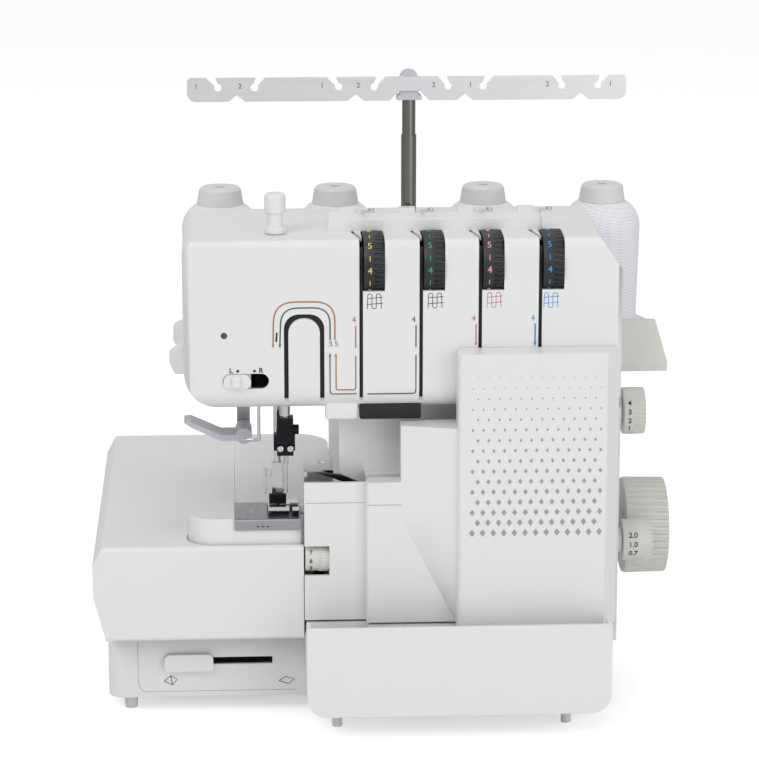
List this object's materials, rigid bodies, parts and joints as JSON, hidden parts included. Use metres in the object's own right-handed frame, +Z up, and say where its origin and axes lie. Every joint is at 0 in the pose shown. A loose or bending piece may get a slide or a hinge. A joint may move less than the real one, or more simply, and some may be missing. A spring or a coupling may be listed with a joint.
{
  "type": "overlock sewing machine",
  "caption": "Domestic overlock sewing machine with a free arm, loopers behind a hinged cover, tension dials, thread tree, spool stand and trim bin.",
  "frame": {"origin": "middle of the footprint, on the surface the machine stands on", "axes": "+X to the handwheel, -Y to the operator, +Z up"},
  "size_m": [0.358, 0.3, 0.3977],
  "materials": {
    "white_shell": "glossy moulded plastic",
    "grey_plastic": "satin moulded plastic",
    "black_plastic": "satin black plastic",
    "thread": "wound sewing thread",
    "plate_steel": "ground steel",
    "bright_steel": "polished steel",
    "dark_steel": "blackened steel",
    "bronze": "sintered bronze",
    "rubber": "moulded rubber",
    "pulley": "turned aluminium"
  },
  "bodies": {
    "machine": {"base_frame": "white_shell", "column_casing": "white_shell", "column_rear_cover": "white_shell", "head_casing": "white_shell", "head_rear_cover": "white_shell", "free_arm": "white_shell", "bed_plate": "white_shell", "looper_tray": "white_shell", "thread_guide_rail": "white_shell", "spool_stand": "white_shell", "thread_cutter": "white_shell", "spool_caps": "grey_plastic", "slot_liners": "black_plastic", "power_inlet": "black_plastic", "thread_spools": "thread", "needle_plate": "plate_steel", "tension_bracket": "plate_steel", "tension_discs": "plate_steel", "lower_knife": "plate_steel", "casing_screws": "plate_steel", "lever_bracket": "plate_steel", "thread_hook": "bright_steel", "rail_hooks": "bright_steel", "motor": "dark_steel", "shaft_bearings": "bronze", "rubber_feet": "rubber", "drive_belt": "rubber"},
    "handwheel_body": {"handwheel": "grey_plastic", "main_shaft": "plate_steel", "shaft_pulley": "pulley"},
    "motor_pulley_body": {"motor_pulley": "pulley"},
    "needle_body": {"needle_bar": "bright_steel", "needle_clamp": "dark_steel", "needles": "bright_steel"},
    "presser_body": {"presser_bar": "bright_steel", "foot_holder": "dark_steel", "presser_foot": "bright_steel"},
    "foot_lever_body": {"foot_lever": "grey_plastic"},
    "upper_looper_body": {"upper_looper": "dark_steel"},
    "lower_looper_body": {"lower_looper": "dark_steel"},
    "upper_knife_body": {"upper_knife": "plate_steel"},
    "feed_dog_body": {"feed_dog": "plate_steel"},
    "tension_1_body": {"tension_dial_1": "black_plastic"},
    "tension_2_body": {"tension_dial_2": "black_plastic"},
    "tension_3_body": {"tension_dial_3": "black_plastic"},
    "tension_4_body": {"tension_dial_4": "black_plastic"},
    "pressure_knob_body": {"pressure_knob": "white_shell"},
    "lower_tube_body": {"pole_lower_tube": "bright_steel"},
    "tree_body": {"pole_upper_tube": "bright_steel", "tree_head": "grey_plastic", "tree_bar": "bright_steel"},
    "stitch_switch_body": {"stitch_switch": "white_shell"},
    "length_dial_body": {"stitch_length_dial": "grey_plastic"},
    "feed_dial_body": {"feed_dial": "grey_plastic"},
    "width_dial_body": {"width_dial": "grey_plastic"},
    "threading_lever_body": {"threading_lever": "grey_plastic"},
    "cover_body": {"looper_cover": "white_shell"},
    "bin_body": {"trim_bin": "white_shell"},
    "table_body": {"flat_table": "white_shell"},
    "slider_body": {"base_slider": "white_shell"}
  },
  "joints": [
    {"name": "handwheel_turn", "type": "hinge", "parent": "machine", "child": "handwheel_body", "pos_m": [0.16, -0.04, 0.102], "axis": [1, 0, 0], "continuous": true},
    {"name": "motor_turn", "type": "hinge", "parent": "machine", "child": "motor_pulley_body", "pos_m": [0.105, 0.06, 0.047], "axis": [1, 0, 0], "continuous": true},
    {"name": "needle_bar_slide", "type": "slide", "parent": "machine", "child": "needle_body", "axis": [0, 0, 1], "range_m": [-0.025, 0]},
    {"name": "presser_slide", "type": "slide", "parent": "machine", "child": "presser_body", "axis": [0, 0, 1], "range_m": [0, 0.006]},
    {"name": "foot_lever_lift", "type": "hinge", "parent": "machine", "child": "foot_lever_body", "pos_m": [-0.086, -0.06, 0.172], "axis": [0, 1, 0], "range_deg": [0, 20]},
    {"name": "upper_looper_swing", "type": "hinge", "parent": "machine", "child": "upper_looper_body", "pos_m": [0.002, -0.1, 0.11], "axis": [0, 1, 0], "range_deg": [-8, 8]},
    {"name": "lower_looper_swing", "type": "hinge", "parent": "machine", "child": "lower_looper_body", "pos_m": [-0.036, -0.09, 0.072], "axis": [0, 1, 0], "range_deg": [-8, 8]},
    {"name": "upper_knife_slide", "type": "slide", "parent": "machine", "child": "upper_knife_body", "axis": [0, 0, 1], "range_m": [-0.006, 0]},
    {"name": "feed_dog_slide", "type": "slide", "parent": "machine", "child": "feed_dog_body", "axis": [0, 1, 0], "range_m": [-0.0015, 0.0015]},
    {"name": "tension_1_turn", "type": "hinge", "parent": "machine", "child": "tension_1_body", "pos_m": [-0.008, -0.097, 0.285], "axis": [1, 0, 0], "range_deg": [-150, 150]},
    {"name": "tension_2_turn", "type": "hinge", "parent": "machine", "child": "tension_2_body", "pos_m": [0.0278, -0.097, 0.285], "axis": [1, 0, 0], "range_deg": [-150, 150]},
    {"name": "tension_3_turn", "type": "hinge", "parent": "machine", "child": "tension_3_body", "pos_m": [0.0631, -0.097, 0.285], "axis": [1, 0, 0], "range_deg": [-150, 150]},
    {"name": "tension_4_turn", "type": "hinge", "parent": "machine", "child": "tension_4_body", "pos_m": [0.099, -0.097, 0.285], "axis": [1, 0, 0], "range_deg": [-150, 150]},
    {"name": "pressure_knob_turn", "type": "hinge", "parent": "machine", "child": "pressure_knob_body", "pos_m": [-0.066, -0.09, 0.31], "axis": [0, 0, 1], "range_deg": [-720, 720]},
    {"name": "lower_tube_slide", "type": "slide", "parent": "machine", "child": "lower_tube_body", "axis": [0, 0, 1], "range_m": [-0.032, 0]},
    {"name": "upper_tube_slide", "type": "slide", "parent": "lower_tube_body", "child": "tree_body", "axis": [0, 0, 1], "range_m": [-0.02, 0]},
    {"name": "stitch_switch_slide", "type": "slide", "parent": "machine", "child": "stitch_switch_body", "axis": [1, 0, 0], "range_m": [0, 0.0107]},
    {"name": "length_dial_turn", "type": "hinge", "parent": "machine", "child": "length_dial_body", "pos_m": [0.15, -0.075, 0.186], "axis": [1, 0, 0], "range_deg": [-135, 135]},
    {"name": "feed_dial_turn", "type": "hinge", "parent": "machine", "child": "feed_dial_body", "pos_m": [0.15, -0.085, 0.106], "axis": [1, 0, 0], "range_deg": [-120, 120]},
    {"name": "width_dial_turn", "type": "hinge", "parent": "machine", "child": "width_dial_body", "pos_m": [-0.042, -0.1024, 0.1034], "axis": [1, 0, 0], "range_deg": [-120, 120]},
    {"name": "threading_lever_turn", "type": "hinge", "parent": "machine", "child": "threading_lever_body", "pos_m": [0.15, -0.05, 0.221], "axis": [1, 0, 0], "range_deg": [-25, 0]},
    {"name": "looper_cover_open", "type": "hinge", "parent": "machine", "child": "cover_body", "pos_m": [0.05, -0.1275, 0.08], "axis": [1, 0, 0], "range_deg": [0, 90]},
    {"name": "trim_bin_pull", "type": "slide", "parent": "machine", "child": "bin_body", "axis": [0, -1, 0], "range_m": [0, 0.08]},
    {"name": "flat_table_pull", "type": "slide", "parent": "machine", "child": "table_body", "axis": [-1, 0, 0], "range_m": [0, 0.13]},
    {"name": "base_slider_move", "type": "slide", "parent": "machine", "child": "slider_body", "axis": [1, 0, 0], "range_m": [0, 0.038]}
  ],
  "couplings": [
    {"joint": "motor_turn", "follows": "handwheel_turn", "ratio": 3.5},
    {"joint": "foot_lever_lift", "follows": "presser_slide", "rad_per_m": 58.178}
  ]
}
